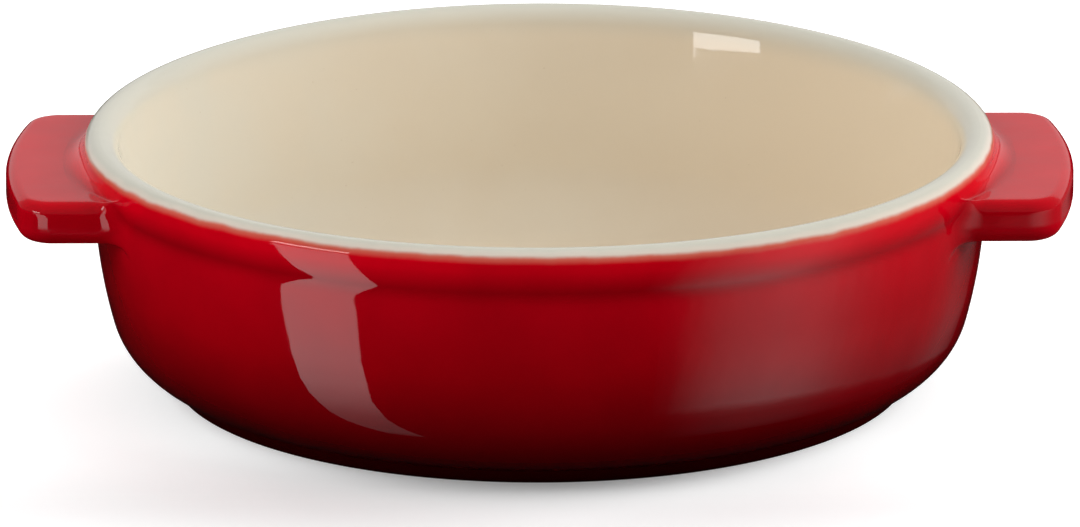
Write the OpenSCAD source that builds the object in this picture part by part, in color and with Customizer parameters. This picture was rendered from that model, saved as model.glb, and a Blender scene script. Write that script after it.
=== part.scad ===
// Round tapas dish of glazed stoneware with two lug handles, cast in one piece.
// The origin is on the table, under the middle of the dish. The handles lie along X.

/* [Rim] */
// Outer diameter of the rolled lip
rim_d = 140; // [120:1:180]
// Height of the dish from the table to the top of the lip
dish_h = 40.4; // [35:0.1:56]
// Radius of the lip's section above its widest point
lip_r = 2.2; // [1.6:0.1:2.8]
// Radius of the lip's section below its widest point
lip_under_r = 11.2; // [8:0.2:16]
// Width of the rim from its outside to its inside
lip_w = 5.3; // [4.4:0.1:6.4]
// Rounding of the lip's inner edge
lip_inner_r = 3; // [1:0.1:3.6]
// Radius of the hollow under the lip, where it runs into the wall
hollow_r = 5.5; // [3:0.5:8]

/* [Wall] */
// How far the wall lies inside the lip
wall_inset = 1.4; // [0.8:0.1:1.8]
// Radius of the wall's long curve, seen from the side
wall_curve_r = 80; // [70:5:200]
// Radius of the belly, where the wall turns under
belly_r = 12; // [9:0.5:14]
// Lean of the inside wall from upright, in degrees
inner_lean = 10.5; // [4:0.5:13]
// Radius inside, between the wall and the floor
inner_belly_r = 13; // [8:0.5:18]

/* [Floor and foot] */
// Outer diameter of the foot ring
foot_d = 113.6; // [100:0.2:115]
// Height of the belly's lowest point over the table
foot_h = 1.9; // [1.6:0.1:3.5]
// Width of the foot ring
foot_w = 5; // [3.5:0.1:8]
// Rounding of the foot ring's edges
foot_edge_r = 0.8; // [0.4:0.1:1]
// Hollow between the foot ring and the belly
foot_fillet_r = 0.6; // [0.4:0.1:1]
// Depth of the recess inside the foot ring
recess_depth = 1.4; // [0.8:0.1:2]
// Thickness of the floor over the recess
floor_t = 4; // [3:0.1:6]

/* [Handles] */
// How far each handle reaches beyond the lip
handle_reach = 12.1; // [9:0.1:22]
// Width of a handle along the rim
handle_w = 51; // [36:0.5:64]
// Thickness of a handle
handle_t = 6.8; // [5:0.1:8]
// Depth of the handle's top below the top of the lip
handle_drop = 5.4; // [4.2:0.1:9]
// Radius of the handle's long outer edge, seen from above
nose_r = 95; // [70:5:300]
// Radius of the handle's two corners, seen from above
corner_r = 5.5; // [3:0.5:10]
// Rounding along the upper edge of the handle
edge_r = 1.8; // [0.8:0.1:2.4]
// Rounding along the lower edge of the handle
under_edge_r = 2.4; // [1:0.1:2.8]
// Radius of the hollow between the handle's sides and the wall
side_fillet_r = 6; // [3:0.1:7]
// Radius of the hollow between the handle's underside and the wall
under_fillet_r = 2; // [1:0.1:3]

/* [Hidden] */

rim_r = rim_d / 2;

// Least flat between two roundings, least corner inside a rounded edge, and how far a handle's
// root stays behind the inside of the rim
least_flat = 0.1;
least_corner_r = 1;
root_cover = 1.4;

// Lip: round above its widest point, at lip_z, and tucked in slowly below it
lip_z = dish_h - lip_r;
lip_inside = rim_r - lip_w;
lip_inner = min(lip_inner_r, lip_w - lip_r - least_flat);

// Hollow under the lip: an arc that touches the lip's arc above it and is upright at the wall
wall_r = rim_r - wall_inset;
hollow_x = wall_r + hollow_r;
hollow_z = lip_z - leg(lip_under_r + hollow_r, hollow_x - rim_r + lip_under_r);
lip_turn = atan2(lip_z - hollow_z, hollow_x - rim_r + lip_under_r);

// Wall and belly: a long arc, upright at the hollow, that runs into the belly's arc
belly_z = foot_h + belly_r;
wall_turn = asin((hollow_z - belly_z) / (wall_curve_r - belly_r));
belly_x = wall_r - wall_curve_r + (wall_curve_r - belly_r) * cos(wall_turn);

// Foot ring: upright outside, with a small hollow where the belly springs from it
foot_r = foot_d / 2;
foot_fillet_x = foot_r + foot_fillet_r;
foot_fillet_z = belly_z - leg(belly_r + foot_fillet_r, foot_fillet_x - belly_x);
foot_fillet_turn = atan2(belly_z - foot_fillet_z, belly_x - foot_fillet_x);
foot_edge = min(foot_edge_r, recess_depth - least_flat);
recess_r = foot_r - foot_w;

// Inside: a leaning wall and a round corner down to the flat floor
floor_z = recess_depth + floor_t;
inner_top_z = dish_h - lip_inner;
inner_corner_z = floor_z + inner_belly_r;
inner_corner_x = lip_inside
    - (inner_top_z - inner_corner_z) * tan(inner_lean) - inner_belly_r / cos(inner_lean);

// Handle: its levels, and the arcs of its outline seen from above
top_z = dish_h - handle_drop;
under_z = top_z - handle_t;
mid_z = (top_z + under_z) / 2;
half_t = handle_t / 2;
half_w = handle_w / 2;
top_fillet_r = lip_z - top_z;
nose_x = rim_r + handle_reach - nose_r;
corner_y = half_w - corner_r;
corner_x = nose_x + leg(nose_r - corner_r, corner_y);
corner_turn = atan2(corner_y, corner_x - nose_x);
top_edge = min(edge_r, corner_r - least_corner_r, half_t - least_flat);
under_edge = min(under_edge_r, corner_r - least_corner_r, half_t - least_flat);

// Handle: the hollows at its root, and the root itself, inside the wall. A hollow stops at this
// turn, just short of the dish.
fillet_end = 80;
side_fillet_d = wall_r + side_fillet_r;
side_fillet_turn = asin((half_w + side_fillet_r) / side_fillet_d);
side_fillet_out = norm([side_fillet_d * cos(side_fillet_turn), half_w]);
root_start_r = wall_r + side_fillet_r * (1 - sin(fillet_end));
root_end_r = rim_r + top_fillet_r;
root_r = lip_inside + root_cover;

// Steps of the handle's mesh: across it, round its edge, over its root, side and corner
across_steps = 20;
edge_steps = 12;
edge_arc_steps = 5;
root_steps = 11;
side_steps = 3;
corner_steps = 8;
first_side_row = root_steps + 2;
first_corner_row = first_side_row + side_steps;
last_row = first_corner_row + corner_steps - 1;
ring_size = 2 * (across_steps + edge_steps);

// The other short side of a right triangle
function leg(long, short) = sqrt(max(long * long - short * short, 0));
// Points along an arc about centre c
function arc(c, r, from, to, steps) =
    [for (i = [0:steps]) let (a = from + (to - from) * i / steps) c + r * [cos(a), sin(a)]];

// Section of the bowl, from the middle of the recess round the outside to the floor inside
bowl_section = concat(
    [[0, recess_depth], [recess_r, recess_depth]],
    arc([recess_r + foot_edge, foot_edge], foot_edge, 180, 270, 5),
    arc([foot_r - foot_edge, foot_edge], foot_edge, 270, 360, 6),
    arc([foot_fillet_x, foot_fillet_z], foot_fillet_r, 180, foot_fillet_turn, 6),
    arc([belly_x, belly_z], belly_r, foot_fillet_turn - 180, -wall_turn, 18),
    arc([wall_r - wall_curve_r, hollow_z], wall_curve_r, -wall_turn, 0, 8),
    arc([hollow_x, hollow_z], hollow_r, 180, 180 - lip_turn, 6),
    arc([rim_r - lip_under_r, lip_z], lip_under_r, -lip_turn, 0, 8),
    arc([rim_r - lip_r, lip_z], lip_r, 0, 90, 9),
    arc([lip_inside + lip_inner, inner_top_z], lip_inner, 90, 180 - inner_lean, 8),
    arc([inner_corner_x, inner_corner_z], inner_belly_r, -inner_lean, -90, 14),
    [[0, floor_z]]
);

// Heights of the handle's top and underside at distance r from the dish's middle.
// Near the dish the top rises in a hollow to the lip's widest point, and the underside
// drops in one to the wall.
function top_at(r) = top_z + top_fillet_r
    - leg(top_fillet_r, root_end_r - max(min(r, root_end_r), rim_r + hollow_gap(top_fillet_r)));
function under_at(r) = under_z - under_fillet_r
    + leg(under_fillet_r, wall_r + under_fillet_r
        - max(min(r, wall_r + under_fillet_r), wall_r + hollow_gap(under_fillet_r)));
function hollow_gap(r) = r * (1 - sin(fillet_end));

// Turn of the handle's side at distance r from the dish's middle, seen from above
function side_turn(r) = r > side_fillet_out ? asin(half_w / r)
    : side_fillet_turn - acos((side_fillet_d * side_fillet_d + r * r - side_fillet_r * side_fillet_r)
        / (2 * side_fillet_d * r));

// Rows run across the handle, from its root to its nose. The first ones are round the dish.
function row_r(row) = row == 0 ? root_r
    : root_start_r + (root_end_r - root_start_r) * (row - 1) / root_steps;
function row_turn(row) = side_turn(row_r(max(row, 1)));
function side_share(row) = (row - first_side_row + 1) / side_steps;
function corner_share(row) = (row - first_corner_row + 1) / corner_steps;
root_end_x = leg(root_end_r, half_w);

// A row's end at some inset from the handle's edge
function row_end(row, inset) =
    row < first_side_row ? let (y = row_r(row) * sin(row_turn(row)) - inset)
        [leg(row_r(row), y), y]
    : row < first_corner_row ? let (t = side_share(row), y = half_w - inset)
        [root_end_x + (corner_x - root_end_x) * t + (1 - t) * (leg(root_end_r, y) - root_end_x), y]
    : let (a = 90 - (90 - corner_turn) * corner_share(row))
        [corner_x, corner_y] + (corner_r - inset) * [cos(a), sin(a)];

// How far a row's middle lies beyond its ends, and the radius of its curve across the handle
function row_crown(row, end, inset) =
    let (t = (row - first_side_row + 1) / (last_row - first_side_row + 1))
        root_end_r + (nose_x + nose_r - inset - root_end_r) * t - end.x;
function row_bend(row, end, inset) = row < first_side_row ? row_r(row)
    : let (crown = row_crown(row, end, inset)) (crown * crown + end.y * end.y) / (2 * crown);

// Height of a point that is a share up of the way from the handle's middle to its faces
function lifted(p, up) = let (r = norm(p))
    [p.x, p.y, mid_z + up * (up > 0 ? top_at(r) - mid_z : mid_z - under_at(r))];

// Points of the handle's surface: on its top and underside, round its edge, and on its nose
function face_point(row, step, up) =
    let (inset = up > 0 ? top_edge : under_edge,
        end = row_end(row, inset),
        bend = row_bend(row, end, inset),
        y = end.y * (2 * step / across_steps - 1))
    lifted([end.x + leg(bend, y) - leg(bend, end.y), y], up);

// Round its edge: an arc down from the top, a flat, and an arc in to the underside
function edge_turn(step) = 90 * (step < edge_steps / 2 ? min(step / edge_arc_steps, 1)
    : 2 - min((edge_steps - step) / edge_arc_steps, 1));
function edge_radius(step) = step < edge_steps / 2 ? top_edge : under_edge;
function edge_inset(step) = edge_radius(step) * (1 - sin(edge_turn(step)));
function edge_up(step) = step == edge_steps / 2 ? (under_edge - top_edge) / handle_t
    : (step < edge_steps / 2 ? 1 : -1) * (1 - edge_radius(step) * (1 - abs(cos(edge_turn(step)))) / half_t);
function edge_point(row, step, side) =
    let (p = row_end(row, edge_inset(step)))
    lifted([p.x, side * p.y], edge_up(step));
function nose_point(step, across) =
    let (inset = edge_inset(step),
        y = row_end(last_row, inset).y * (2 * across / across_steps - 1))
    lifted([nose_x + leg(nose_r - inset, y), y], edge_up(step));

handle_points = concat(
    [for (row = [0:last_row]) each concat(
        [for (i = [0:across_steps]) face_point(row, i, 1)],
        [for (k = [1:edge_steps - 1]) edge_point(row, k, 1)],
        [for (i = [across_steps:-1:0]) face_point(row, i, -1)],
        [for (k = [edge_steps - 1:-1:1]) edge_point(row, k, -1)])],
    [for (k = [1:edge_steps - 1], i = [1:across_steps - 1]) nose_point(k, i)]
);

// Places in a row's ring, and in the nose, whose own points come after the last ring
function under_place(i) = 2 * across_steps + edge_steps - i;
function nose_place(k, i) =
    k == 0 ? last_row * ring_size + i
    : k == edge_steps ? last_row * ring_size + under_place(i)
    : i == 0 ? (last_row + 1) * ring_size - k
    : i == across_steps ? last_row * ring_size + across_steps + k
    : (last_row + 1) * ring_size + (k - 1) * (across_steps - 1) + i - 1;

function split_face(a, b, c, d) = [[a, b, c], [a, c, d]];
handle_faces = concat(
    [for (row = [0:last_row - 1], i = [0:ring_size - 1])
        let (a = row * ring_size, j = (i + 1) % ring_size)
        each split_face(a + i, a + j, a + ring_size + j, a + ring_size + i)],
    [for (i = [0:across_steps - 1])
        each split_face(i + 1, i, under_place(i), under_place(i + 1))],
    [for (k = [1:edge_steps - 1])
        [0, k == 1 ? ring_size - 1 : ring_size - k, k == edge_steps - 1
            ? under_place(0) : ring_size - k - 1]],
    [for (k = [1:edge_steps - 1])
        [across_steps, k == edge_steps - 1 ? under_place(across_steps) : across_steps + k + 1,
            across_steps + k]],
    [for (k = [0:edge_steps - 1], i = [0:across_steps - 1])
        each split_face(nose_place(k, i), nose_place(k, i + 1),
            nose_place(k + 1, i + 1), nose_place(k + 1, i))]
);

module bowl() {
    rotate_extrude($fn = 180) polygon(bowl_section);
}

module handle() {
    polyhedron(handle_points, handle_faces);
}

module dish() {
    color("firebrick") union() {
        bowl();
        for (turn = [0, 180]) rotate(turn) handle();
    }
}

dish();
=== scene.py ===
"""Round tapas dish of glazed stoneware: red outside, cream inside, two lug handles."""

import math

import bpy
import numpy as np
from mathutils import Matrix, Vector


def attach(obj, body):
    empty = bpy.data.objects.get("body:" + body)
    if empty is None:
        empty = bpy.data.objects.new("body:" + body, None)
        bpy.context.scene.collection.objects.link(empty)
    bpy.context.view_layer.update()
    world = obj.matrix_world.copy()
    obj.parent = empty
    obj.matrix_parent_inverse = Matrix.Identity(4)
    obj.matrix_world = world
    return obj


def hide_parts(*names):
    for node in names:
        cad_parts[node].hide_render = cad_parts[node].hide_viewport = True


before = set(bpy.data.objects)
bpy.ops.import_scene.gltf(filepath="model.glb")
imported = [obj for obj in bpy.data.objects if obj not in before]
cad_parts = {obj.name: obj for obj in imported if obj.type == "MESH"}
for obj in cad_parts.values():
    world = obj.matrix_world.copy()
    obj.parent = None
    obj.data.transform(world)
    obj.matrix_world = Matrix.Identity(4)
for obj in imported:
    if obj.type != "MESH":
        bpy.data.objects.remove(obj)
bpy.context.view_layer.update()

MM = 0.001

# Rim, in millimetres
RIM_R = 70.0
DISH_H = 40.4
LIP_R = 2.2
LIP_UNDER_R = 11.2
LIP_W = 5.3
LIP_INNER_R = 3.0
HOLLOW_R = 5.5

# Wall
WALL_INSET = 1.4
WALL_CURVE_R = 80.0
BELLY_R = 12.0
INNER_LEAN = math.radians(10.5)
INNER_BELLY_R = 13.0

# Floor and foot
FOOT_R = 56.8
FOOT_H = 1.9
FOOT_W = 5.0
FOOT_EDGE_R = 0.8
FOOT_FILLET_R = 0.6
RECESS_DEPTH = 1.4
INNER_FLOOR_T = 4.0

# Handles
HANDLE_REACH = 12.1
HALF_W = 25.5
HANDLE_T = 6.8
HANDLE_DROP = 5.4
NOSE_R = 95.0
CORNER_R = 5.5
TOP_EDGE_R = 1.8
UNDER_EDGE_R = 2.4
SIDE_FILLET_R = 6.0
UNDER_FILLET_R = 2.0

# The rim sinks a little towards the handles, as a fired rim does. Lower parts sink less, and the
# sag fades out between these two radii, towards the middle.
RIM_SAG = 0.8
SAG_RADII = (20.0, 45.0)

# Where the cream glaze ends and the red one begins, on the lip, and how far this line strays
# outwards, by azimuth in degrees from the camera's side (left below 0)
GLAZE_LINE_R = 69.7
GLAZE_STRAY = ((-180, 0.0), (-90, 0.6), (-45, -0.22), (0, -0.23), (40, 0.42), (90, -0.3), (180, 0.0))

# Cells of the mesh: across a handle, between the handles, down a handle's root, round its edges,
# out along its hollows, along its sides and round its corners
ACROSS = 50
BETWEEN = 108
LIP_UNDER_STEPS = 12
HOLLOW_STEPS = 8
ROOT_WALL_STEPS = 8
DEEP = LIP_UNDER_STEPS + HOLLOW_STEPS + ROOT_WALL_STEPS
EDGE_ARC_STEPS = 11
ROOT_STEPS = 14
SIDE_STEPS = 8
CORNER_STEPS = 14

# Pull of the curves at a handle's root, as shares of their chord: round above and below, and at
# the sides slow out of the wall and quick into the handle
ROUND_PULL = 0.385
SIDE_LEAVE = 0.55
SIDE_ARRIVE = 0.22
SIDE_BLEND = 6

# At its sides a root reaches further out at the top and less far at the bottom, by so many
# millimetres, over these cells. Its top and bottom lines turn into the sides from a share of the
# width on, and its directions turn over a few cells at the corners.
ROOT_OUT_TOP = 0.9
ROOT_OUT_TOP_CELLS = (0, 12)
ROOT_IN_BELOW = 0.4
ROOT_IN_BELOW_CELLS = (16, DEEP)
ROOT_TURN_FROM = 0.66
ROOT_CORNER_CELLS = 5.0

# Distance from the glaze line that a handle counts as, and the length of a root's curves as a
# share of their chord
HANDLE_FROM_LINE = 12.0
ROOT_LENGTH = 1.2

# Rounds in which the mesh's curvature is evened out
BEND_ROUNDS = 6


def leg(long, short):
    """The other short side of a right triangle."""
    return np.sqrt(np.maximum(long * long - short * short, 0.0))


def arc(centre, radius, start, end, steps):
    """Points along an arc, angles in radians."""
    turns = np.linspace(start, end, steps + 1)
    return [(centre[0] + radius * math.cos(a), centre[1] + radius * math.sin(a)) for a in turns]


def smooth(low, high, value):
    """A smooth step from 0 at low to 1 at high."""
    t = np.clip((value - low) / (high - low), 0.0, 1.0)
    return t * t * (3 - 2 * t)


# Levels and radii that follow from the sizes
LIP_Z = DISH_H - LIP_R
LIP_INSIDE = RIM_R - LIP_W
WALL_R = RIM_R - WALL_INSET
HOLLOW_X = WALL_R + HOLLOW_R
LIP_UNDER_X = RIM_R - LIP_UNDER_R
HOLLOW_Z = LIP_Z - float(leg(LIP_UNDER_R + HOLLOW_R, HOLLOW_X - LIP_UNDER_X))
LIP_TURN = math.atan2(LIP_Z - HOLLOW_Z, HOLLOW_X - LIP_UNDER_X)
TOP_Z = DISH_H - HANDLE_DROP
UNDER_Z = TOP_Z - HANDLE_T
TOP_FILLET_R = LIP_Z - TOP_Z
UNDER_ROOT_Z = UNDER_Z - UNDER_FILLET_R
INNER_FLOOR_Z = RECESS_DEPTH + INNER_FLOOR_T

# Half the angle that a handle's root takes of the bowl, and X where its side hollows end
HANDLE_TURN = math.asin((HALF_W + SIDE_FILLET_R) / (WALL_R + SIDE_FILLET_R))
SIDE_ROOT_X = (WALL_R + SIDE_FILLET_R) * math.cos(HANDLE_TURN)

# A handle's nose and corners
NOSE_X = RIM_R + HANDLE_REACH - NOSE_R
CORNER_Y = HALF_W - CORNER_R
CORNER_X = NOSE_X + float(leg(NOSE_R - CORNER_R, CORNER_Y))
CORNER_TURN = math.atan2(CORNER_Y, CORNER_X - NOSE_X)


def bowl_section():
    """The bowl's section from the middle of the floor inside, over the lip, to the middle underneath.

    Returns its points, the rows of the lip's widest point and of the handles' lower root,
    and the row where the red glaze begins.
    """
    belly_z = FOOT_H + BELLY_R
    wall_turn = math.asin((HOLLOW_Z - belly_z) / (WALL_CURVE_R - BELLY_R))
    belly_x = WALL_R - WALL_CURVE_R + (WALL_CURVE_R - BELLY_R) * math.cos(wall_turn)
    fillet_x = FOOT_R + FOOT_FILLET_R
    fillet_z = belly_z - leg(BELLY_R + FOOT_FILLET_R, fillet_x - belly_x)
    fillet_turn = math.atan2(belly_z - fillet_z, belly_x - fillet_x)
    inner_top_z = DISH_H - LIP_INNER_R
    corner_z = INNER_FLOOR_Z + INNER_BELLY_R
    corner_x = (LIP_INSIDE - (inner_top_z - corner_z) * math.tan(INNER_LEAN)
                - INNER_BELLY_R / math.cos(INNER_LEAN))
    recess_r = FOOT_R - FOOT_W
    quarter = math.pi / 2
    root_turn = -math.asin((HOLLOW_Z - UNDER_ROOT_Z) / WALL_CURVE_R)
    glaze_turn = math.acos((GLAZE_LINE_R - RIM_R + LIP_R) / LIP_R)

    floor = [(r, INNER_FLOOR_Z) for r in np.linspace(0, corner_x, 9)[:-1]]
    corner = arc((corner_x, corner_z), INNER_BELLY_R, -quarter, -INNER_LEAN, 18)
    lip_in = arc((LIP_INSIDE + LIP_INNER_R, inner_top_z), LIP_INNER_R,
                 math.pi - INNER_LEAN, quarter, 8)
    wall_in = list(zip(np.linspace(corner[-1][0], lip_in[0][0], 10)[1:-1],
                       np.linspace(corner[-1][1], lip_in[0][1], 10)[1:-1]))
    lip_top = [((lip_in[-1][0] + RIM_R - LIP_R) / 2, DISH_H)]
    lip_cream = arc((RIM_R - LIP_R, LIP_Z), LIP_R, quarter, glaze_turn, 6)
    lip_red = arc((RIM_R - LIP_R, LIP_Z), LIP_R, glaze_turn, 0, 5)[1:]
    above = floor + corner + wall_in + lip_in + lip_top + lip_cream
    glaze_row = len(above) - 1
    above += lip_red
    widest = len(above) - 1
    wall_centre = (WALL_R - WALL_CURVE_R, HOLLOW_Z)
    beside_handle = (
        arc((LIP_UNDER_X, LIP_Z), LIP_UNDER_R, 0, -LIP_TURN, LIP_UNDER_STEPS)[1:]
        + arc((HOLLOW_X, HOLLOW_Z), HOLLOW_R, math.pi - LIP_TURN, math.pi, HOLLOW_STEPS)[1:]
        + arc(wall_centre, WALL_CURVE_R, 0, root_turn, ROOT_WALL_STEPS)[1:]
    )
    below = (
        arc(wall_centre, WALL_CURVE_R, root_turn, -wall_turn, 14)[1:]
        + arc((belly_x, belly_z), BELLY_R, -wall_turn, fillet_turn - math.pi, 22)[1:]
        + arc((fillet_x, fillet_z), FOOT_FILLET_R, fillet_turn, math.pi, 5)[1:]
        + arc((FOOT_R - FOOT_EDGE_R, FOOT_EDGE_R), FOOT_EDGE_R, 0, -quarter, 6)
        + arc((recess_r + FOOT_EDGE_R, FOOT_EDGE_R), FOOT_EDGE_R, -quarter, -math.pi, 6)
        + [(r, RECESS_DEPTH) for r in np.linspace(recess_r - 0.1, 0, 9)]
    )
    points = np.array(above + beside_handle + below)
    return points, widest, widest + DEEP, glaze_row


def column_turns():
    """Angles of the bowl's columns: one handle's root, a gap, the other handle's root, a gap."""
    root = np.linspace(-HANDLE_TURN, HANDLE_TURN, ACROSS + 1)[:-1]
    gap = np.linspace(HANDLE_TURN, math.pi - HANDLE_TURN, BETWEEN + 1)[:-1]
    return np.concatenate([root, gap, root + math.pi, gap + math.pi])


def sagged(points):
    """Lower the rim towards the handles."""
    r = np.hypot(points[:, 0], points[:, 1])
    towards_handle = (points[:, 0] / np.maximum(r, 1e-9)) ** 2
    up = np.clip(points[:, 2] / DISH_H, 0, 1) ** 2
    out = points.copy()
    out[:, 2] -= RIM_SAG * towards_handle * smooth(*SAG_RADII, r) * up
    return out


class Surface:
    """Points, quads and triangles as they are laid, with each point's distance from the glaze line."""

    def __init__(self):
        self.points = []
        self.distance = []
        self.faces = []

    def add(self, points, distance):
        """Add points, and return their numbers."""
        start = sum(len(block) for block in self.points)
        self.points.append(np.asarray(points, dtype=float))
        self.distance.append(np.broadcast_to(distance, len(points)).astype(float))
        return start + np.arange(len(points))

    def strip(self, ring_a, ring_b, closed):
        """Quads between two rows of points."""
        count = len(ring_a) if closed else len(ring_a) - 1
        after = np.roll(np.arange(len(ring_a)), -1)[:count]
        for here, there in zip(range(count), after):
            self.faces.append((ring_a[here], ring_a[there], ring_b[there], ring_b[here]))


def lay_bowl(surface):
    """The bowl's rows of points and its faces, open where the handles join. Returns the grid."""
    section, widest, root, glaze_row = bowl_section()
    turns = column_turns()
    steps = np.hypot(*np.diff(section, axis=0).T)
    along = np.concatenate([[0], np.cumsum(steps)])
    along -= along[glaze_row]
    azimuth = (np.degrees(turns) + 270) % 360 - 180
    stray = np.interp(azimuth, *zip(*GLAZE_STRAY))
    grid = []
    for (r, z), distance in zip(section, along):
        if r < 1e-6:
            grid.append(np.repeat(surface.add([(0, 0, z)], distance), len(turns)))
            continue
        ring = np.column_stack([r * np.cos(turns), r * np.sin(turns), np.full(len(turns), z)])
        grid.append(surface.add(sagged(ring), distance - stray))
    half = ACROSS + BETWEEN
    for row in range(len(section) - 1):
        for column in range(2 * half):
            if widest <= row < root and column % half < ACROSS:
                continue
            after = (column + 1) % (2 * half)
            corners = (grid[row][column], grid[row][after], grid[row + 1][after], grid[row + 1][column])
            surface.faces.append(tuple(dict.fromkeys(corners)))
    return np.array(grid), widest, root


def edge_section():
    """Inset from the handle's outline, and height, of the points round its edge, top to underside."""
    quarter = math.pi / 2
    flat = DEEP - 2 * EDGE_ARC_STEPS
    top = arc((TOP_EDGE_R, TOP_Z - TOP_EDGE_R), TOP_EDGE_R, quarter, math.pi, EDGE_ARC_STEPS)
    under = arc((UNDER_EDGE_R, UNDER_Z + UNDER_EDGE_R), UNDER_EDGE_R, math.pi, 3 * quarter,
                EDGE_ARC_STEPS)
    middle = [(0.0, z) for z in np.linspace(top[-1][1], under[0][1], flat + 1)[1:-1]]
    return np.array(top + middle + under)


def root_ring():
    """The ring where a root's hollows end: the edge's section, and X at the sides, top and underside."""
    edge = edge_section()
    depth = np.arange(DEEP + 1)
    side_x = (SIDE_ROOT_X + ROOT_OUT_TOP * (1 - smooth(*ROOT_OUT_TOP_CELLS, depth))
              - ROOT_IN_BELOW * smooth(*ROOT_IN_BELOW_CELLS, depth))
    across = np.linspace(-1, 1, ACROSS + 1)
    y_top = (HALF_W - edge[0, 0]) * across
    y_under = (HALF_W - edge[-1, 0]) * across
    turn = smooth(ROOT_TURN_FROM, 1, np.abs(across))
    x_top = leg(RIM_R + TOP_FILLET_R, y_top) * (1 - turn) + side_x[0] * turn
    x_under = leg(WALL_R + UNDER_FILLET_R, y_under) * (1 - turn) + side_x[-1] * turn
    return edge, side_x, x_top, x_under


def ring_points(x_top, x_under, end_x, end_y, edge):
    """A closed ring: the top from -Y to +Y, down the +Y side, back underneath, up the -Y side."""
    across = np.linspace(-1, 1, ACROSS + 1)
    top = np.column_stack([x_top, end_y[0] * across, np.full(ACROSS + 1, edge[0, 1])])
    under = np.column_stack([x_under, end_y[-1] * across, np.full(ACROSS + 1, edge[-1, 1])])
    right = np.column_stack([end_x[1:-1], end_y[1:-1], edge[1:-1, 1]])
    left = right * (1, -1, 1)
    return np.concatenate([top, right, under[::-1], left[::-1]])


def root_loop(grid, widest, root, start):
    """The bowl's points round the place where a handle joins, in the order of a handle's ring."""
    columns = (start + np.arange(ACROSS + 1)) % grid.shape[1]
    top = grid[widest, columns]
    right = grid[widest + 1:root, columns[-1]]
    under = grid[root, columns][::-1]
    left = grid[widest + 1:root, columns[0]][::-1]
    return np.concatenate([top, right, under, left])


def root_directions(loop_points):
    """Directions in which the bowl's surface runs into a handle's root.

    They run down from the lip, up from the wall, and round the wall at the sides, and turn from one
    to the next at the corners.
    """
    size = 2 * (ACROSS + DEEP)
    corners = [0, ACROSS, ACROSS + DEEP, 2 * ACROSS + DEEP, size]
    down = np.array([0.0, 0.0, -1.0])
    upright = [down, None, -down, None]
    out = np.zeros((size, 3))
    for index in range(size):
        total = np.zeros(3)
        for side, direct in enumerate(upright):
            low, high = corners[side:side + 2]
            if low <= index <= high or (high == size and index == 0):
                weight = 1.0
            else:
                near = min(min((index - end) % size, (end - index) % size) for end in (low, high))
                weight = max(0.0, 1 - near / ROOT_CORNER_CELLS) ** 2
            if weight == 0.0:
                continue
            if direct is None:
                x, y = loop_points[index, :2]
                tangent = np.array([abs(y), -x * np.sign(y), 0.0])
                direct = tangent / np.linalg.norm(tangent)
            total += weight * direct
        out[index] = total / np.linalg.norm(total)
    return out


def lay_root(surface, loop, end, flip):
    """The hollows at a root: curves that leave the bowl along its surface and end along the handle."""
    start = np.concatenate(surface.points)[loop] * flip
    travelled = np.concatenate(surface.distance)[loop]
    chord = np.linalg.norm(end - start, axis=1)[:, None]
    depth = np.arange(1, DEEP)
    side = smooth(0, SIDE_BLEND, depth) * smooth(0, SIDE_BLEND, DEEP - depth)
    flat = np.zeros(ACROSS + 1)
    side = np.concatenate([flat, side, flat, side])[:, None]
    leave = start + root_directions(start) * chord * (ROUND_PULL + (SIDE_LEAVE - ROUND_PULL) * side)
    arrive = end - np.array([1.0, 0.0, 0.0]) * chord * (ROUND_PULL + (SIDE_ARRIVE - ROUND_PULL) * side)
    ring = loop
    for step in range(1, ROOT_STEPS + 1):
        t = step / ROOT_STEPS
        point = ((1 - t) ** 3 * start + 3 * t * (1 - t) ** 2 * leave
                 + 3 * t * t * (1 - t) * arrive + t ** 3 * end)
        after = surface.add(point * flip, travelled + ROOT_LENGTH * t * chord[:, 0])
        surface.strip(ring, after, True)
        ring = after
    return ring


def nose_lines(edge):
    """X and Y along the nose, from one corner to the other, for each point of the edge's section."""
    across = np.linspace(-1, 1, ACROSS + 1)
    lines = []
    for inset in edge[:, 0]:
        y = (CORNER_Y + (CORNER_R - inset) * math.sin(CORNER_TURN)) * across
        lines.append((NOSE_X + leg(NOSE_R - inset, y), y))
    return lines


def crowned(root_line, nose_line, end_x, share):
    """X across a handle's top or underside, part way from its root's line to its nose's line."""
    middle = ACROSS // 2
    crown = root_line[middle] + (nose_line[middle] - root_line[middle]) * share - end_x
    root_shape = (root_line - root_line[0]) / (root_line[middle] - root_line[0])
    nose_shape = (nose_line - nose_line[0]) / (nose_line[middle] - nose_line[0])
    return end_x + crown * (root_shape * (1 - share) + nose_shape * share)


def lay_body(surface, ring, root, nose, flip):
    """A handle's flat body and its round corners, from the root's ring to the nose."""
    edge, side_x, x_top, x_under = root
    rows = SIDE_STEPS + CORNER_STEPS
    for row in range(1, rows + 1):
        if row <= SIDE_STEPS:
            end_x = side_x + (CORNER_X - side_x) * row / SIDE_STEPS
            end_y = HALF_W - edge[:, 0]
        else:
            a = math.pi / 2 - (math.pi / 2 - CORNER_TURN) * (row - SIDE_STEPS) / CORNER_STEPS
            end_x = CORNER_X + (CORNER_R - edge[:, 0]) * math.cos(a)
            end_y = CORNER_Y + (CORNER_R - edge[:, 0]) * math.sin(a)
        top = crowned(x_top, nose[0][0], end_x[0], row / rows)
        under = crowned(x_under, nose[-1][0], end_x[-1], row / rows)
        after = surface.add(ring_points(top, under, end_x, end_y, edge) * flip, HANDLE_FROM_LINE)
        surface.strip(ring, after, True)
        ring = after
    return ring


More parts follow.
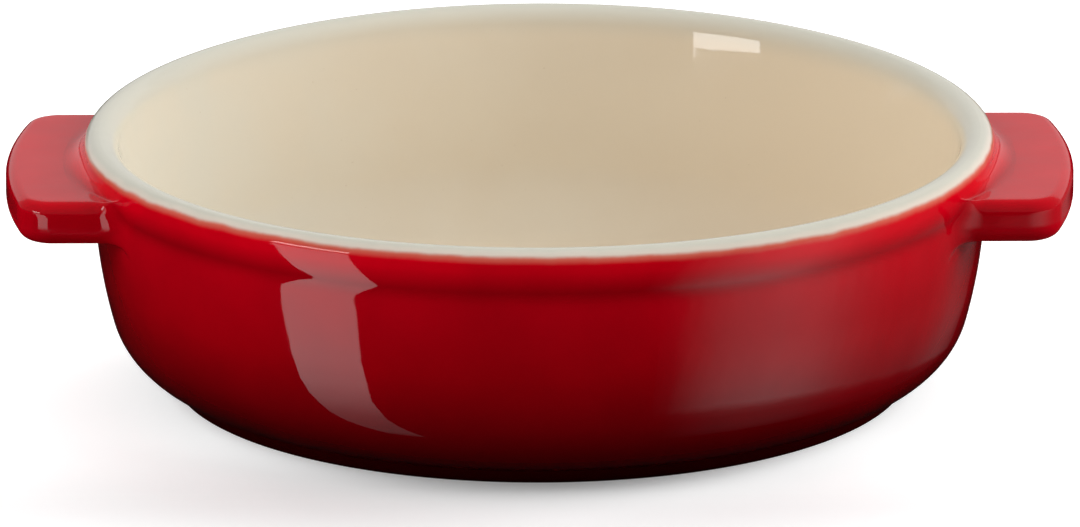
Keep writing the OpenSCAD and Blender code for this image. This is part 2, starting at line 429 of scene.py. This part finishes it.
def lay_nose(surface, ring, edge, nose, flip):
    """A handle's nose: rows from its top edge down to its lower edge."""
    right = ring[ACROSS:ACROSS + DEEP + 1]
    left = np.concatenate([ring[2 * ACROSS + DEEP:], ring[:1]])[::-1]
    before = ring[:ACROSS + 1]
    for k in range(1, DEEP + 1):
        if k == DEEP:
            after = ring[ACROSS + DEEP:2 * ACROSS + DEEP + 1][::-1]
        else:
            x, y = nose[k]
            inner = np.column_stack([x, y, np.full(ACROSS + 1, edge[k, 1])])[1:-1]
            inner = surface.add(inner * flip, HANDLE_FROM_LINE)
            after = np.concatenate([left[k:k + 1], inner, right[k:k + 1]])
        surface.strip(before, after, False)
        before = after


def lay_handle(surface, grid, widest, root, at_right):
    """One handle: hollows out of the bowl, the flat body with its round corners, and the nose."""
    loop = root_loop(grid, widest, root, 0 if at_right else ACROSS + BETWEEN)
    flip = np.array([1.0, 1.0, 1.0] if at_right else [-1.0, -1.0, 1.0])
    edge, side_x, x_top, x_under = root_ring()
    nose = nose_lines(edge)
    ring = lay_root(surface, loop, ring_points(x_top, x_under, side_x, HALF_W - edge[:, 0], edge), flip)
    ring = lay_body(surface, ring, (edge, side_x, x_top, x_under), nose, flip)
    lay_nose(surface, ring, edge, nose, flip)


def curvature(points, faces):
    """Mean curvature at each point, in 1/mm, above 0 in hollows, since the faces are wound inward."""
    quads = np.array([f if len(f) == 4 else (*f, f[-1]) for f in faces])
    a, b, c, d = (points[quads[:, i]] for i in range(4))
    normal = np.cross(c - a, d - b)
    normals = np.zeros_like(points)
    for i in range(4):
        np.add.at(normals, quads[:, i], normal)
    normals /= np.maximum(np.linalg.norm(normals, axis=1), 1e-12)[:, None]
    total = np.zeros(len(points))
    count = np.zeros(len(points))
    for i in range(4):
        here, there = quads[:, i], quads[:, (i + 1) % 4]
        step = points[there] - points[here]
        length = np.einsum("ij,ij->i", step, step)
        keep = length > 1e-8
        here, there, step, length = here[keep], there[keep], step[keep], length[keep]
        bend = np.einsum("ij,ij->i", normals[there] - normals[here], step) / length
        for end in (here, there):
            np.add.at(total, end, bend)
            np.add.at(count, end, 1)
    value = total / np.maximum(count, 1)
    for _ in range(BEND_ROUNDS):
        spread = np.zeros(len(points))
        number = np.zeros(len(points))
        for i in range(4):
            here, there = quads[:, i], quads[:, (i + 1) % 4]
            np.add.at(spread, here, value[there])
            np.add.at(spread, there, value[here])
            np.add.at(number, here, 1)
            np.add.at(number, there, 1)
        value = 0.5 * value + 0.5 * spread / np.maximum(number, 1)
    return value


def dish_mesh():
    """The whole dish as one smooth mesh, with the attributes that its material reads."""
    surface = Surface()
    grid, widest, root = lay_bowl(surface)
    for at_right in (True, False):
        lay_handle(surface, grid, widest, root, at_right)
    points = np.concatenate(surface.points)
    distance = np.concatenate(surface.distance)
    used = np.unique(np.concatenate([np.asarray(face) for face in surface.faces]))
    place = np.zeros(len(points), dtype=int)
    place[used] = np.arange(len(used))
    faces = [tuple(int(place[i]) for i in face) for face in surface.faces]
    points = points[used]
    mesh = bpy.data.meshes.new("dish_glazed")
    mesh.from_pydata((points * MM).tolist(), [], faces)
    mesh.polygons.foreach_set("use_smooth", [True] * len(faces))
    for name, values in (("glaze_mm", distance[used]), ("bend", curvature(points, faces))):
        layer = mesh.attributes.new(name, "FLOAT", "POINT")
        layer.data.foreach_set("value", values.astype(np.float32))
    mesh.validate()
    mesh.update()
    return mesh


class Shader:
    """Short ways to add and link nodes in one material."""

    def __init__(self, name):
        self.material = bpy.data.materials.new(name)
        self.material.use_nodes = True
        self.tree = self.material.node_tree
        self.tree.nodes.clear()
        self.output = self.tree.nodes.new("ShaderNodeOutputMaterial")

    def put(self, socket, value):
        """Link a socket to another one, or set its value."""
        if isinstance(value, bpy.types.NodeSocket):
            self.tree.links.new(value, socket)
        else:
            socket.default_value = value

    def math(self, operation, a, b=0.0, clamp=False):
        """One step of arithmetic."""
        node = self.tree.nodes.new("ShaderNodeMath")
        node.operation = operation
        node.use_clamp = clamp
        self.put(node.inputs[0], a)
        self.put(node.inputs[1], b)
        return node.outputs[0]

    def between(self, value, low, high, to_low=0.0, to_high=1.0):
        """The value's place between low and high, eased, and mapped to another span."""
        node = self.tree.nodes.new("ShaderNodeMapRange")
        node.interpolation_type = "SMOOTHSTEP"
        for socket, number in zip(node.inputs, (value, low, high, to_low, to_high)):
            self.put(socket, number)
        return node.outputs[0]

    def attribute(self, name):
        """A number that the mesh holds for each point."""
        node = self.tree.nodes.new("ShaderNodeAttribute")
        node.attribute_name = name
        return node.outputs["Fac"]

    def noise(self, vector, size_mm, detail=2.0, rough=0.5):
        """Noise from 0 to 1, with features of about the given size."""
        node = self.tree.nodes.new("ShaderNodeTexNoise")
        self.put(node.inputs["Vector"], vector)
        node.inputs["Scale"].default_value = 1 / (size_mm * MM)
        node.inputs["Detail"].default_value = detail
        node.inputs["Roughness"].default_value = rough
        return node.outputs["Fac"]

    def ramp(self, value, stops):
        """A color that follows the value, from 0 to 1, along straight lines between stops."""
        node = self.tree.nodes.new("ShaderNodeValToRGB")
        self.put(node.inputs[0], value)
        elements = node.color_ramp.elements
        while len(elements) < len(stops):
            elements.new(0.5)
        for element, (place, color) in zip(elements, stops):
            element.position = place
            element.color = (*color, 1.0)
        return node.outputs["Color"]

    def curve(self, value, stops):
        """A number that follows the value along straight lines between stops."""
        low, high = stops[0][0], stops[-1][0]
        top = max(number for _, number in stops)
        place = self.math("DIVIDE", self.math("SUBTRACT", value, low), high - low, clamp=True)
        grays = [((at - low) / (high - low), (number / top,) * 3) for at, number in stops]
        return self.math("MULTIPLY", self.ramp(place, grays), top)

    def mix(self, share, a, b):
        """A color part way from a to b."""
        node = self.tree.nodes.new("ShaderNodeMix")
        node.data_type = "RGBA"
        self.put(node.inputs[0], share)
        for socket, color in ((node.inputs[6], a), (node.inputs[7], b)):
            self.put(socket, color if isinstance(color, bpy.types.NodeSocket) else (*color, 1.0))
        return node.outputs[2]

    def scale_color(self, color, factor):
        """A color made darker or brighter."""
        node = self.tree.nodes.new("ShaderNodeVectorMath")
        node.operation = "SCALE"
        self.put(node.inputs[0], color)
        self.put(node.inputs["Scale"], factor)
        return node.outputs[0]


# Red glaze by height over the table, in millimetres, from the foot up. Its darkening towards the foot is
# painted shade.
RED_SHADED_BY_HEIGHT = (
    (0.0, (0.014, 0.0, 0.0)),
    (4.0, (0.072, 0.0, 0.001)),
    (10.0, (0.15, 0.0, 0.002)),
    (20.0, (0.34, 0.0, 0.004)),
    (30.0, (0.43, 0.0, 0.006)),
    (40.0, (0.47, 0.0, 0.006)),
)
RED_TOP = 40.0

# In tight hollows the red is brighter, by the mesh's bend in 1/mm, but not near the foot
RED_BRIGHT_IN_HOLLOWS = (0.60, 0.012, 0.012)
HOLLOW_BRIGHT_SHARE = 0.55
HOLLOW_BRIGHT_BEND = (0.12, 0.5)
HOLLOW_BRIGHT_HEIGHT = (3.0, 8.0)

# Brightness of the red below the line where the cream ends, by the distance from it, in
# millimetres: thin on the lip, and darker where the lip runs into the hollow, which is painted shade
RED_THIN_AND_SHADED_BELOW_LINE = ((0.0, 1.4), (2.5, 1.38), (4.2, 1.13), (6.0, 0.86), (7.2, 0.93), (8.6, 1.0))

# Colors on the lip, and the distances from the line, below 0 inside it, over which each takes the
# place of the one before. The line strays by up to half of the last value to each side.
LIP_CREAM = (0.50, 0.485, 0.415)
LIP_EDGE = (0.66, 0.575, 0.49)
BREAK_BROWN = (0.60, 0.13, 0.085)
TO_LIP_CREAM = (-9.0, -2.5)
TO_LIP_EDGE = (-1.5, -0.3)
TO_BROWN = (-0.45, 0.35)
TO_RED = (0.0, 1.3)
RAGGED = 0.7

# Colors inside, and where one turns into the next, by X in millimetres. The change across the dish from
# side to side is painted light and shade.
INSIDE_PAINTED_PALE_SIDE = (0.565, 0.535, 0.45)
INSIDE_CREAM = (0.72, 0.63, 0.49)
INSIDE_WARM = (0.665, 0.545, 0.395)
PAINTED_PALE_TO_CREAM = (-66.0, -8.0)
PAINTED_CREAM_TO_WARM = (-10.0, 45.0)
SPECK = (0.42, 0.31, 0.19)

# The flat of the foot ring is bare clay, up to this height and this far from its middle, and the
# recess under the floor is glazed cream
BARE_CLAY = (0.52, 0.42, 0.31)
LAND_HEIGHT = (0.3, 0.6)
LAND_REACH = (FOOT_W / 2 - 1.0, FOOT_W / 2 - 0.5)
RECESS_HEIGHT = (RECESS_DEPTH + 0.1, RECESS_DEPTH + 0.8)
RECESS_RADIUS = (FOOT_R - FOOT_W - 0.2, FOOT_R - FOOT_W + 0.8)

# Gloss of the glaze and of its dull parts round the lower edge of the handles, and roughness
GLOSS = 0.25
DULL_GLOSS = 0.02
DULL_HEIGHT = (UNDER_Z + UNDER_EDGE_R - 0.1, UNDER_Z + UNDER_EDGE_R + 1.0)
DULL_RADIUS = (WALL_R + 0.3, WALL_R + 2.9)
GLAZE_ROUGH = (0.02, 0.05)
DULL_ROUGH = 0.15
CLAY_ROUGH = 0.75

# Sizes of the patterns in the glaze, in millimetres, and the depth of its waves
CLOUD_SIZE = 14.0
RAGGED_SIZE = 5.0
SPECK_SIZE = 0.7
GRAIN_SIZE = 0.35
ROUGH_SIZE = 6.0
WAVE_SIZE = 9.0
PEEL_SIZE = 2.2
WAVE_DEPTH = 0.06
PEEL_SHARE = 0.12
GRAIN_SHARE = 0.6


def radius(s, split):
    """Distance from the dish's axis, in millimetres."""
    x2 = s.math("POWER", s.math("ABSOLUTE", split.outputs["X"]), 2.0)
    y2 = s.math("POWER", s.math("ABSOLUTE", split.outputs["Y"]), 2.0)
    return s.math("MULTIPLY", s.math("SQRT", s.math("ADD", x2, y2)), 1 / MM)


class Place:
    """What the glaze goes by at each point, in millimetres, and the patterns that it shares."""

    def __init__(self, s):
        self.coords = s.tree.nodes.new("ShaderNodeTexCoord").outputs["Object"]
        split = s.tree.nodes.new("ShaderNodeSeparateXYZ")
        s.put(split.inputs[0], self.coords)
        self.across = s.math("MULTIPLY", split.outputs["X"], 1 / MM)
        self.height = s.math("MULTIPLY", split.outputs["Z"], 1 / MM)
        self.radius = radius(s, split)
        self.from_line = s.attribute("glaze_mm")
        self.bend = s.attribute("bend")
        self.clouds = s.noise(self.coords, CLOUD_SIZE, 3.0)
        self.grain = s.noise(self.coords, GRAIN_SIZE, 4.0, 0.7)


def red_glaze(s, at):
    """Red: darker towards the foot and in the hollow under the lip, which is painted shade, brighter in
    tight hollows, with slow clouds.
    """
    stops = [(height / RED_TOP, color) for height, color in RED_SHADED_BY_HEIGHT]
    # The ramp by height paints shade towards the foot
    red = s.ramp(s.math("DIVIDE", at.height, RED_TOP), stops)
    red = s.scale_color(red, s.between(at.clouds, 0.25, 0.75, 0.93, 1.07))
    hollow_bright = s.math("MULTIPLY", s.between(at.bend, *HOLLOW_BRIGHT_BEND, 0.0, HOLLOW_BRIGHT_SHARE),
                  s.between(at.height, *HOLLOW_BRIGHT_HEIGHT))
    # The curve below the line paints shade into the hollow under the lip
    return s.scale_color(s.mix(hollow_bright, red, RED_BRIGHT_IN_HOLLOWS), s.curve(at.from_line, RED_THIN_AND_SHADED_BELOW_LINE))


def cream_glaze(s, at):
    """Cream: paler at one side and warmer at the other, which is painted light and shade, with faint
    specks.
    """
    # Across the dish the cream turns paler at one side and warmer at the other: painted light and shade
    cream = s.mix(s.between(at.across, *PAINTED_PALE_TO_CREAM), INSIDE_PAINTED_PALE_SIDE, INSIDE_CREAM)
    cream = s.mix(s.between(at.across, *PAINTED_CREAM_TO_WARM, 0.0, 0.8), cream, INSIDE_WARM)
    cream = s.mix(s.between(at.clouds, 0.3, 0.7, 0.0, 0.2), cream, INSIDE_WARM)
    cream = s.mix(s.between(at.from_line, *TO_LIP_CREAM), cream, LIP_CREAM)
    specks = s.noise(at.coords, SPECK_SIZE, 2.0, 0.6)
    return s.mix(s.between(specks, 0.72, 0.80, 0.0, 0.25), cream, SPECK)


def lip_line(s, at, cream, red):
    """The red runs out over the lip through a thin brown edge."""
    ragged = s.math("SUBTRACT", s.noise(at.coords, RAGGED_SIZE, 3.0), 0.5)
    from_line = s.math("ADD", at.from_line, s.math("MULTIPLY", ragged, RAGGED))
    color = s.mix(s.between(from_line, *TO_LIP_EDGE, 0.0, 0.85), cream, LIP_EDGE)
    color = s.mix(s.between(from_line, *TO_BROWN), color, BREAK_BROWN)
    return s.mix(s.between(from_line, *TO_RED), color, red)


def bare_land(s, at):
    """1 on the flat of the foot ring, and 0 elsewhere."""
    from_middle = s.math("ABSOLUTE", s.math("SUBTRACT", at.radius, FOOT_R - FOOT_W / 2))
    return s.math("MULTIPLY", s.between(at.height, *LAND_HEIGHT, 1.0, 0.0),
                  s.between(from_middle, *LAND_REACH, 1.0, 0.0))


def underside(s, at, color, land):
    """The bare ring that the foot stands on, and the cream recess inside it."""
    recess = s.math("MULTIPLY", s.between(at.height, *RECESS_HEIGHT, 1.0, 0.0),
                    s.between(at.radius, *RECESS_RADIUS, 1.0, 0.0))
    clay = s.scale_color(BARE_CLAY, s.between(at.grain, 0.2, 0.8, 0.85, 1.12))
    return s.mix(land, s.mix(recess, color, INSIDE_WARM), clay)


def dull_edge(s, at):
    """1 round the lower edge of the handles, where the glaze is thin and dull, and 0 elsewhere."""
    return s.math("MULTIPLY", s.between(at.height, *DULL_HEIGHT, 1.0, 0.0),
                  s.between(at.radius, *DULL_RADIUS))


def glaze_waves(s, at, land):
    """Slow waves and a faint peel in the glaze, and the grain of the bare ring."""
    peel = s.math("MULTIPLY", s.noise(at.coords, PEEL_SIZE, 1.0), PEEL_SHARE)
    grain = s.math("MULTIPLY", s.math("MULTIPLY", at.grain, land), GRAIN_SHARE)
    waves = s.math("ADD", s.noise(at.coords, WAVE_SIZE, 2.0), peel)
    bump = s.tree.nodes.new("ShaderNodeBump")
    bump.inputs["Strength"].default_value = 1.0
    bump.inputs["Distance"].default_value = WAVE_DEPTH * MM
    s.put(bump.inputs["Height"], s.math("ADD", waves, grain))
    return bump.outputs["Normal"]


def glaze_material():
    """Gloss glaze: cream inside and over the lip, red outside, a bare ring under the foot."""
    s = Shader("glaze")
    at = Place(s)
    land = bare_land(s, at)
    dull = dull_edge(s, at)
    color = lip_line(s, at, cream_glaze(s, at), red_glaze(s, at))
    rough = s.between(s.noise(at.coords, ROUGH_SIZE, 3.0), 0.3, 0.7, *GLAZE_ROUGH)
    rough = s.math("ADD", rough, s.math("MULTIPLY", dull, DULL_ROUGH))
    rough = s.math("MAXIMUM", rough, s.math("MULTIPLY", land, CLAY_ROUGH))
    surface = s.tree.nodes.new("ShaderNodeBsdfPrincipled")
    s.put(surface.inputs["Base Color"], underside(s, at, color, land))
    s.put(surface.inputs["Roughness"], rough)
    s.put(surface.inputs["Specular IOR Level"], s.between(dull, 0.0, 1.0, GLOSS, DULL_GLOSS))
    surface.inputs["IOR"].default_value = 1.5
    s.put(surface.inputs["Normal"], glaze_waves(s, at, land))
    s.put(s.output.inputs["Surface"], surface.outputs["BSDF"])
    return s.material


def add_dish():
    """The glazed dish, in the place of its solid."""
    mesh = dish_mesh()
    piece = bpy.data.objects.new("glazed_dish", mesh)
    bpy.context.scene.collection.objects.link(piece)
    mesh.materials.append(glaze_material())
    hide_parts("dish")
    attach(piece, "root")


# Floor, in metres. It sends less light back to the dish than the camera and gloss see of it. For
# these it also glows a little, more beside and behind the dish than in front of it (by Y, in
# millimetres), so that the backdrop is white.
FLOOR_SIZE = 8.0
FLOOR_SEEN = 0.88
FLOOR_BOUNCE = 0.3
FLOOR_LIFT = (0.02, 0.45)
FLOOR_LIFT_Y = (-75.0, -32.0)


def add_floor():
    """A wide pale floor."""
    half = FLOOR_SIZE / 2
    corners = [(-half, -half, 0), (half, -half, 0), (half, half, 0), (-half, half, 0)]
    mesh = bpy.data.meshes.new("floor")
    mesh.from_pydata(corners, [], [(0, 1, 2, 3)])
    floor = bpy.data.objects.new("floor", mesh)
    bpy.context.scene.collection.objects.link(floor)
    s = Shader("floor")
    rays = s.tree.nodes.new("ShaderNodeLightPath").outputs
    seen = s.math("MAXIMUM", rays["Is Camera Ray"], rays["Is Glossy Ray"])
    seen = s.math("MAXIMUM", seen, rays["Is Transmission Ray"])
    surface = s.tree.nodes.new("ShaderNodeBsdfDiffuse")
    bounce, white = (FLOOR_BOUNCE,) * 3, (FLOOR_SEEN,) * 3
    s.put(surface.inputs["Color"], s.mix(seen, bounce, white))
    glow = s.tree.nodes.new("ShaderNodeEmission")
    split = s.tree.nodes.new("ShaderNodeSeparateXYZ")
    s.put(split.inputs[0], s.tree.nodes.new("ShaderNodeTexCoord").outputs["Object"])
    lift = s.between(s.math("MULTIPLY", split.outputs["Y"], 1 / MM), *FLOOR_LIFT_Y, *FLOOR_LIFT)
    s.put(glow.inputs["Strength"], s.math("MULTIPLY", seen, lift))
    total = s.tree.nodes.new("ShaderNodeAddShader")
    s.put(total.inputs[0], surface.outputs["BSDF"])
    s.put(total.inputs[1], glow.outputs["Emission"])
    s.put(s.output.inputs["Surface"], total.outputs[0])
    mesh.materials.append(s.material)


# Lamps: direction from the dish as azimuth from the camera's side (left below 0) and elevation,
# in degrees, then distance, width and height in metres, and how bright its face is (1 is white)
LAMPS = {
    "key": (-58.0, 5.5, 1.1, 0.50, 0.23, 2.6),
    "front_left": (-50.0, 35.0, 1.6, 1.0, 0.8, 1.8),
    "left": (-82.0, 38.0, 1.6, 1.3, 0.9, 2.1),
    "right": (82.0, 38.0, 1.6, 1.3, 0.9, 3.3),
    "side_right": (98.0, 18.0, 1.6, 1.2, 0.8, 3.8),
    "rear": (180.0, 50.0, 1.6, 1.8, 1.0, 1.5),
    "back": (180.0, 17.0, 2.2, 3.2, 1.2, 0.25),
}

# The height that the lamps aim at, and the power of a square metre of lamp whose face is at 1
LAMP_AIM_Z = 0.02
LAMP_POWER = 4.0

# Lamps that show in the glaze's gloss. The others only light the dish.
SHINING = ("back",)


def direction(azimuth, elevation):
    """The way from the dish to a lamp."""
    a, e = math.radians(azimuth), math.radians(elevation)
    return Vector((math.sin(a) * math.cos(e), -math.cos(a) * math.cos(e), math.sin(e)))


def add_lamp(name, azimuth, elevation, distance, width, height, face):
    """An area lamp that faces the dish."""
    out = direction(azimuth, elevation)
    data = bpy.data.lights.new(name, "AREA")
    data.shape = "RECTANGLE"
    data.size = width
    data.size_y = height
    data.energy = face * width * height * LAMP_POWER
    lamp = bpy.data.objects.new(name, data)
    lamp.location = Vector((0, 0, LAMP_AIM_Z)) + out * distance
    lamp.rotation_euler = out.to_track_quat("Z", "Y").to_euler()
    lamp.visible_glossy = name in SHINING
    bpy.context.scene.collection.objects.link(lamp)


# Cards that show only in the glaze's gloss, in millimetres: a dark ring on the floor, which keeps
# the red deep, a pale card over it at the front right, and a bright strip with a window at its far
# end at the front left, which give the long highlight and the ones on the lip and inside.
RING_RADII = (54.0, 2500.0)
RING_Z = 0.2
RING_GLOW = 0.004
PALE_Z = 0.3
STRIP_Z = 0.4

# A card's points go by the place on the wall where they show: its azimuth from the camera's side,
# and the distance over the floor from there. The pale card's brightness, by each of the two:
PALE_BY_AZIMUTH = ((15.6, 0.02), (17.7, 0.08), (19.8, 0.3), (21.9, 0.55), (23.9, 0.8), (26.1, 1.03),
                   (28.3, 1.15), (32.8, 1.3), (37.5, 1.1), (40.0, 0.9), (42.6, 0.65), (45.3, 0.45),
                   (48.1, 0.3), (51.1, 0.2), (54.3, 0.14), (61.6, 0.09), (71.3, 0.12), (80.0, 0.02))
PALE_BY_DISTANCE = ((0.0, 0.05), (3.3, 0.15), (9.0, 0.2), (11.0, 0.35), (13.5, 1.25), (20.0, 1.25),
                    (50.0, 1.0), (900.0, 1.0))

# The strip's rows: distance, azimuths of its left and right end, and brightness
STRIP = (
    (2.0, -22.5, -17.0, 0.3),
    (3.4, -25.0, -18.4, 0.7),
    (7.0, -28.5, -20.6, 0.8),
    (10.0, -31.2, -22.4, 1.1),
    (15.0, -33.3, -23.9, 2.2),
    (22.0, -34.6, -24.2, 3.2),
    (35.0, -35.1, -24.3, 3.8),
    (470.0, -35.1, -24.3, 3.8),
)

# The window stands at the strip's far end: heights over the floor, and brightness. It is dim
# below its sill.
WINDOW_ROWS = ((STRIP_Z, 1.0), (71.0, 1.0), (74.0, 13.0), (140.0, 13.0))


def on_floor(azimuth, distance, z):
    """The point on the floor that shows at an azimuth of the wall, at a distance from there."""
    a = math.radians(azimuth)
    return (WALL_R * math.sin(a) + distance * math.sin(2 * a),
            -WALL_R * math.cos(a) - distance * math.cos(2 * a), z)


def grid_faces(rows, columns):
    """Quads of a grid of points that are laid row by row."""
    return [(i, i + 1, i + columns + 1, i + columns)
            for row in range(rows - 1) for i in range(row * columns, (row + 1) * columns - 1)]


def add_card(name, points, faces, glow):
    """A card that only reflections see, as bright at each point as its glow says (1 is white)."""
    mesh = bpy.data.meshes.new(name)
    mesh.from_pydata([tuple(c * MM for c in point) for point in points], [], faces)
    layer = mesh.attributes.new("glow", "FLOAT", "POINT")
    layer.data.foreach_set("value", np.asarray(glow, dtype=np.float32))
    card = bpy.data.objects.new(name, mesh)
    bpy.context.scene.collection.objects.link(card)
    s = Shader(name)
    light = s.tree.nodes.new("ShaderNodeEmission")
    s.put(light.inputs["Strength"], s.attribute("glow"))
    s.put(s.output.inputs["Surface"], light.outputs["Emission"])
    mesh.materials.append(s.material)
    card.visible_camera = False
    card.visible_diffuse = False
    card.visible_shadow = False


def add_cards():
    """The dark ring, the pale card, the bright strip and the window."""
    turns = np.radians(np.linspace(0, 360, 97))
    ring = [(r * math.sin(a), -r * math.cos(a), RING_Z) for r in RING_RADII for a in turns]
    add_card("dark_ring", ring, grid_faces(len(RING_RADII), len(turns)), [RING_GLOW] * len(ring))

    pale = [on_floor(a, d, PALE_Z) for d, _ in PALE_BY_DISTANCE for a, _ in PALE_BY_AZIMUTH]
    glow = [share * by_azimuth for _, share in PALE_BY_DISTANCE for _, by_azimuth in PALE_BY_AZIMUTH]
    add_card("pale_card", pale, grid_faces(len(PALE_BY_DISTANCE), len(PALE_BY_AZIMUTH)), glow)

    strip = [on_floor(a, d, STRIP_Z) for d, left, right, _ in STRIP for a in (left, right)]
    glow = [row[3] for row in STRIP for _ in range(2)]
    add_card("light_strip", strip, grid_faces(len(STRIP), 2), glow)

    distance, left, right, _ = STRIP[-1]
    window = [on_floor(a, distance, z) for z, _ in WINDOW_ROWS for a in (left, right)]
    glow = [row[1] for row in WINDOW_ROWS for _ in range(2)]
    add_card("window", window, grid_faces(len(WINDOW_ROWS), 2), glow)


# Brightness of the world, where 1 is white
WORLD_LIGHT = 0.27


def add_world():
    """Even light all round."""
    world = bpy.data.worlds.new("studio")
    bpy.context.scene.world = world
    world.use_nodes = True
    background = world.node_tree.nodes["Background"]
    background.inputs["Color"].default_value = (1.0, 1.0, 1.0, 1.0)
    background.inputs["Strength"].default_value = WORLD_LIGHT


# Camera: looking down at the dish from far off, a touch rolled. Its distance, aim and shifts are in
# millimetres.
CAMERA_ELEVATION = math.radians(16.6)
CAMERA_ROLL = math.radians(0.14)
CAMERA_DISTANCE = 2500.0
CAMERA_AIM_Z = 18.8
CAMERA_SHIFT_UP = -0.909
CAMERA_SHIFT_RIGHT = 0.015
PIXELS_PER_MM = 6.49
PHOTO_WIDTH = 1080
SENSOR = 36.0


def add_camera():
    """The camera at the photograph's viewing angle."""
    cos_e, sin_e = math.cos(CAMERA_ELEVATION), math.sin(CAMERA_ELEVATION)
    view = Vector((0, cos_e, -sin_e))
    up = Vector((0, sin_e, cos_e))
    right = Vector((1, 0, 0))
    place = (Vector((0, 0, CAMERA_AIM_Z)) - view * CAMERA_DISTANCE
             + up * CAMERA_SHIFT_UP + right * CAMERA_SHIFT_RIGHT)
    cos_r, sin_r = math.cos(CAMERA_ROLL), math.sin(CAMERA_ROLL)
    axes = (right * cos_r - up * sin_r, right * sin_r + up * cos_r, -view)
    data = bpy.data.cameras.new("camera")
    data.sensor_fit = "HORIZONTAL"
    data.sensor_width = SENSOR
    data.lens = PIXELS_PER_MM * CAMERA_DISTANCE * SENSOR / PHOTO_WIDTH
    data.clip_start = 0.1
    data.clip_end = 20.0
    camera = bpy.data.objects.new("camera", data)
    rotation = Matrix([[axis[i] for axis in axes] for i in range(3)])
    camera.matrix_world = Matrix.Translation(place * MM) @ rotation.to_4x4()
    bpy.context.scene.collection.objects.link(camera)
    bpy.context.scene.camera = camera


add_dish()
add_floor()
add_cards()
add_world()
for lamp_name, lamp in LAMPS.items():
    add_lamp(lamp_name, *lamp)
add_camera()
bpy.context.scene.view_settings.view_transform = "Standard"
